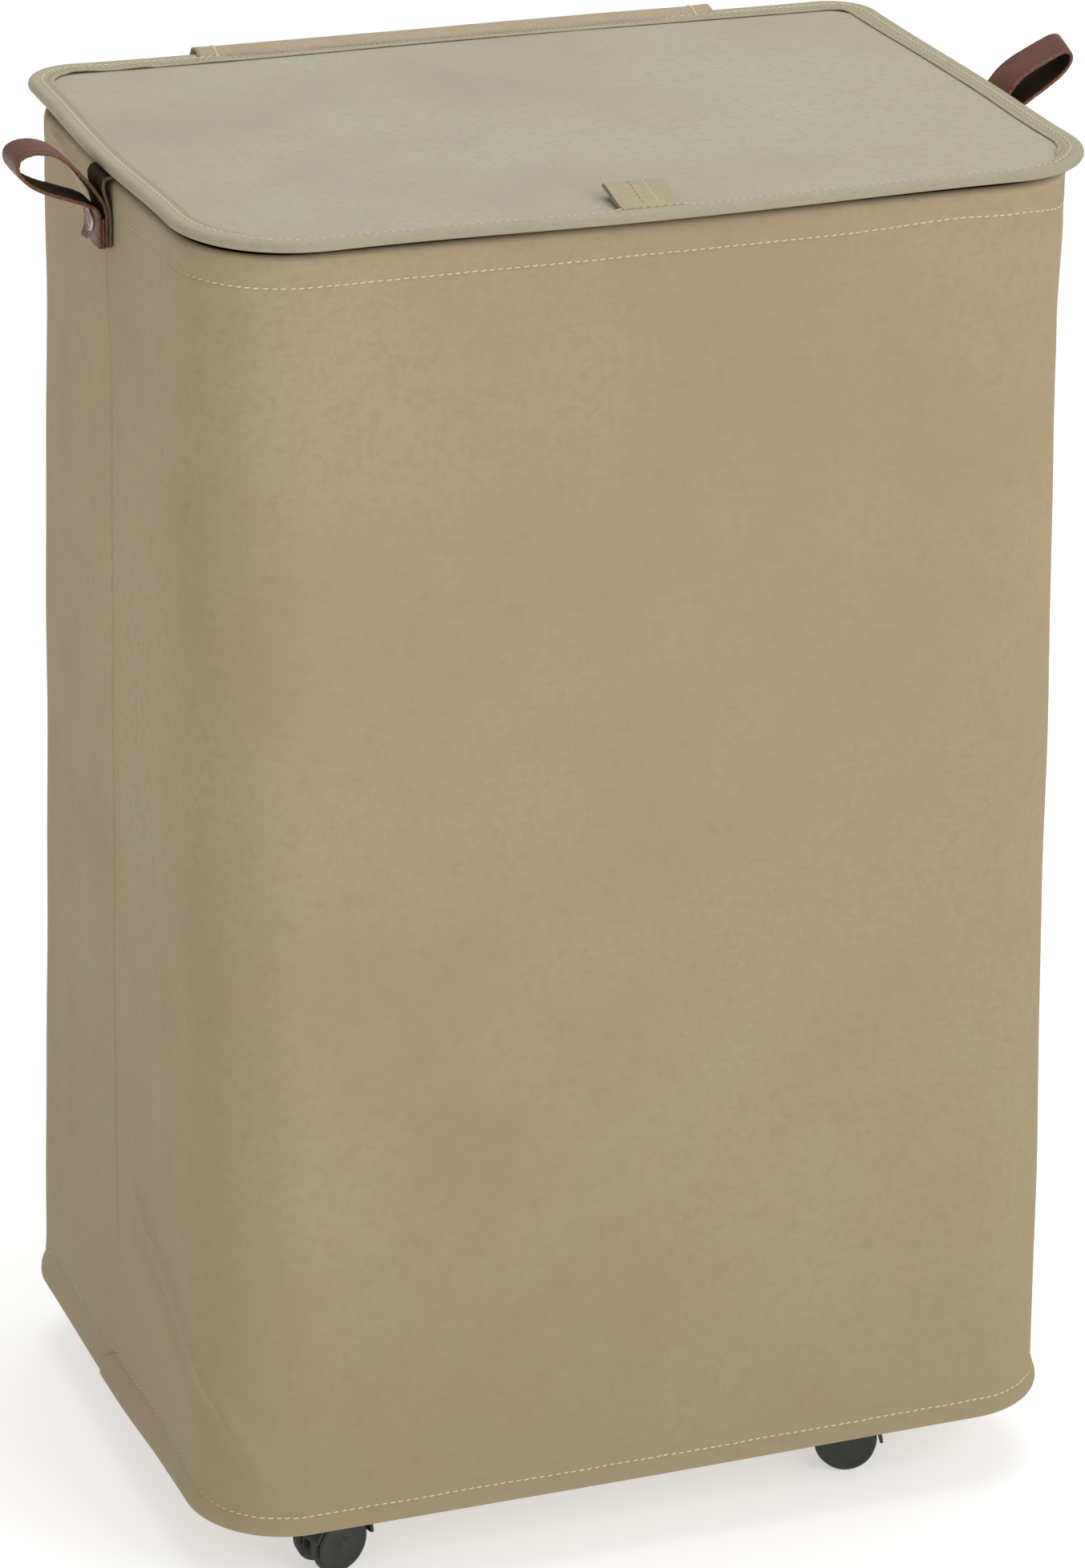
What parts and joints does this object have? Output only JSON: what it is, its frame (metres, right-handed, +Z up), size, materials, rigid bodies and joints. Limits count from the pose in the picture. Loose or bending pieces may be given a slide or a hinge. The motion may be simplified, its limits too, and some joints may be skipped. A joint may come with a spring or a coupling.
{
  "type": "rolling laundry hamper",
  "caption": "Tall rectangular cloth laundry hamper on twin-wheel swivel casters, with a hinged wire-edged cloth lid, a pull tab and leather loop handles at its sides.",
  "frame": {"origin": "on the floor under the middle of the hamper", "axes": "+Z up, front (pull tab side) towards -Y, handles at -X and +X"},
  "size_m": [0.55, 0.3532, 0.7167],
  "materials": {
    "canvas": "khaki coated canvas, matt",
    "lid_canvas": "stone-coloured coated canvas, matt",
    "leather": "reddish-brown strap leather, waxed",
    "steel": "drawn wire and zinc-plated hardware",
    "nickel": "nickel-plated rivet",
    "hardboard": "brown hardboard",
    "hood_plastic": "black moulded plastic",
    "wheel_plastic": "black moulded plastic, worn tread"
  },
  "bodies": {
    "hamper_body": {"front_wrap_panel": "canvas", "rear_wrap_panel": "canvas", "left_seam_tape": "canvas", "right_seam_tape": "canvas", "top_hem_casing": "canvas", "bottom_hem_casing": "canvas", "top_ring_wire": "steel", "bottom_ring_wire": "steel", "base_cloth": "canvas", "base_board": "hardboard", "stay_rod_front_left": "steel", "rod_sleeve_front_left": "canvas", "caster_stem_front_left": "steel", "caster_nut_front_left": "steel", "stay_rod_front_right": "steel", "rod_sleeve_front_right": "canvas", "caster_stem_front_right": "steel", "caster_nut_front_right": "steel", "stay_rod_rear_left": "steel", "rod_sleeve_rear_left": "canvas", "caster_stem_rear_left": "steel", "caster_nut_rear_left": "steel", "stay_rod_rear_right": "steel", "rod_sleeve_rear_right": "canvas", "caster_stem_rear_right": "steel", "caster_nut_rear_right": "steel", "left_handle_tail": "leather", "left_hanger_strap": "leather", "left_handle_rivet": "nickel", "right_handle_tail": "leather", "right_hanger_strap": "leather", "right_handle_rivet": "nickel", "hinge_tape_body_side": "canvas"},
    "lid": {"lid_panel": "lid_canvas", "lid_binding": "lid_canvas", "lid_ring_wire": "steel", "hinge_tape_lid_side": "lid_canvas"},
    "pull_tab_loop": {"pull_tab": "lid_canvas"},
    "left_handle": {"left_handle_loop": "leather"},
    "right_handle": {"right_handle_loop": "leather"},
    "caster_front_left": {"hood_front_left": "hood_plastic", "axle_front_left": "steel"},
    "wheel_front_left_a": {"wheel_front_left_a": "wheel_plastic"},
    "wheel_front_left_b": {"wheel_front_left_b": "wheel_plastic"},
    "caster_front_right": {"hood_front_right": "hood_plastic", "axle_front_right": "steel"},
    "wheel_front_right_a": {"wheel_front_right_a": "wheel_plastic"},
    "wheel_front_right_b": {"wheel_front_right_b": "wheel_plastic"},
    "caster_rear_left": {"hood_rear_left": "hood_plastic", "axle_rear_left": "steel"},
    "wheel_rear_left_a": {"wheel_rear_left_a": "wheel_plastic"},
    "wheel_rear_left_b": {"wheel_rear_left_b": "wheel_plastic"},
    "caster_rear_right": {"hood_rear_right": "hood_plastic", "axle_rear_right": "steel"},
    "wheel_rear_right_a": {"wheel_rear_right_a": "wheel_plastic"},
    "wheel_rear_right_b": {"wheel_rear_right_b": "wheel_plastic"}
  },
  "joints": [
    {"name": "lid_hinge", "type": "hinge", "parent": "hamper_body", "child": "lid", "pos_m": [0.007, 0.1655, 0.6997], "axis": [-1, 0, 0], "range_deg": [0, 250]},
    {"name": "pull_tab_flip", "type": "hinge", "parent": "lid", "child": "pull_tab_loop", "pos_m": [-0.0095, -0.159, 0.711], "axis": [1, 0, 0], "range_deg": [0, 140], "stiffness_Nm_per_rad": 0.002},
    {"name": "left_handle_swing", "type": "hinge", "parent": "hamper_body", "child": "left_handle", "pos_m": [-0.23286, 0, 0.684], "axis": [0, 1, 0], "range_deg": [-75, 12], "stiffness_Nm_per_rad": 0.05},
    {"name": "right_handle_swing", "type": "hinge", "parent": "hamper_body", "child": "right_handle", "pos_m": [0.23286, 0, 0.684], "axis": [0, -1, 0], "range_deg": [-75, 12], "stiffness_Nm_per_rad": 0.05},
    {"name": "swivel_front_left", "type": "hinge", "parent": "hamper_body", "child": "caster_front_left", "pos_m": [-0.144, -0.13, 0.04], "axis": [0, 0, 1], "continuous": true},
    {"name": "spin_front_left_a", "type": "hinge", "parent": "caster_front_left", "child": "wheel_front_left_a", "pos_m": [-0.1595, -0.13564, 0.0165], "axis": [-0.342, 0.9397, 0], "continuous": true},
    {"name": "spin_front_left_b", "type": "hinge", "parent": "caster_front_left", "child": "wheel_front_left_b", "pos_m": [-0.1595, -0.13564, 0.0165], "axis": [-0.342, 0.9397, 0], "continuous": true},
    {"name": "swivel_front_right", "type": "hinge", "parent": "hamper_body", "child": "caster_front_right", "pos_m": [0.144, -0.13, 0.04], "axis": [0, 0, 1], "continuous": true},
    {"name": "spin_front_right_a", "type": "hinge", "parent": "caster_front_right", "child": "wheel_front_right_a", "pos_m": [0.12814, -0.12545, 0.0165], "axis": [0.2756, 0.9613, 0], "continuous": true},
    {"name": "spin_front_right_b", "type": "hinge", "parent": "caster_front_right", "child": "wheel_front_right_b", "pos_m": [0.12814, -0.12545, 0.0165], "axis": [0.2756, 0.9613, 0], "continuous": true},
    {"name": "swivel_rear_left", "type": "hinge", "parent": "hamper_body", "child": "caster_rear_left", "pos_m": [-0.144, 0.13, 0.04], "axis": [0, 0, 1], "continuous": true},
    {"name": "spin_rear_left_a", "type": "hinge", "parent": "caster_rear_left", "child": "wheel_rear_left_a", "pos_m": [-0.16034, 0.1323, 0.0165], "axis": [0.1392, 0.9903, 0], "continuous": true},
    {"name": "spin_rear_left_b", "type": "hinge", "parent": "caster_rear_left", "child": "wheel_rear_left_b", "pos_m": [-0.16034, 0.1323, 0.0165], "axis": [0.1392, 0.9903, 0], "continuous": true},
    {"name": "swivel_rear_right", "type": "hinge", "parent": "hamper_body", "child": "caster_rear_right", "pos_m": [0.144, 0.13, 0.04], "axis": [0, 0, 1], "continuous": true},
    {"name": "spin_rear_right_a", "type": "hinge", "parent": "caster_rear_right", "child": "wheel_rear_right_a", "pos_m": [0.12799, 0.12601, 0.0165], "axis": [-0.2419, 0.9703, 0], "continuous": true},
    {"name": "spin_rear_right_b", "type": "hinge", "parent": "caster_rear_right", "child": "wheel_rear_right_b", "pos_m": [0.12799, 0.12601, 0.0165], "axis": [-0.2419, 0.9703, 0], "continuous": true}
  ]
}
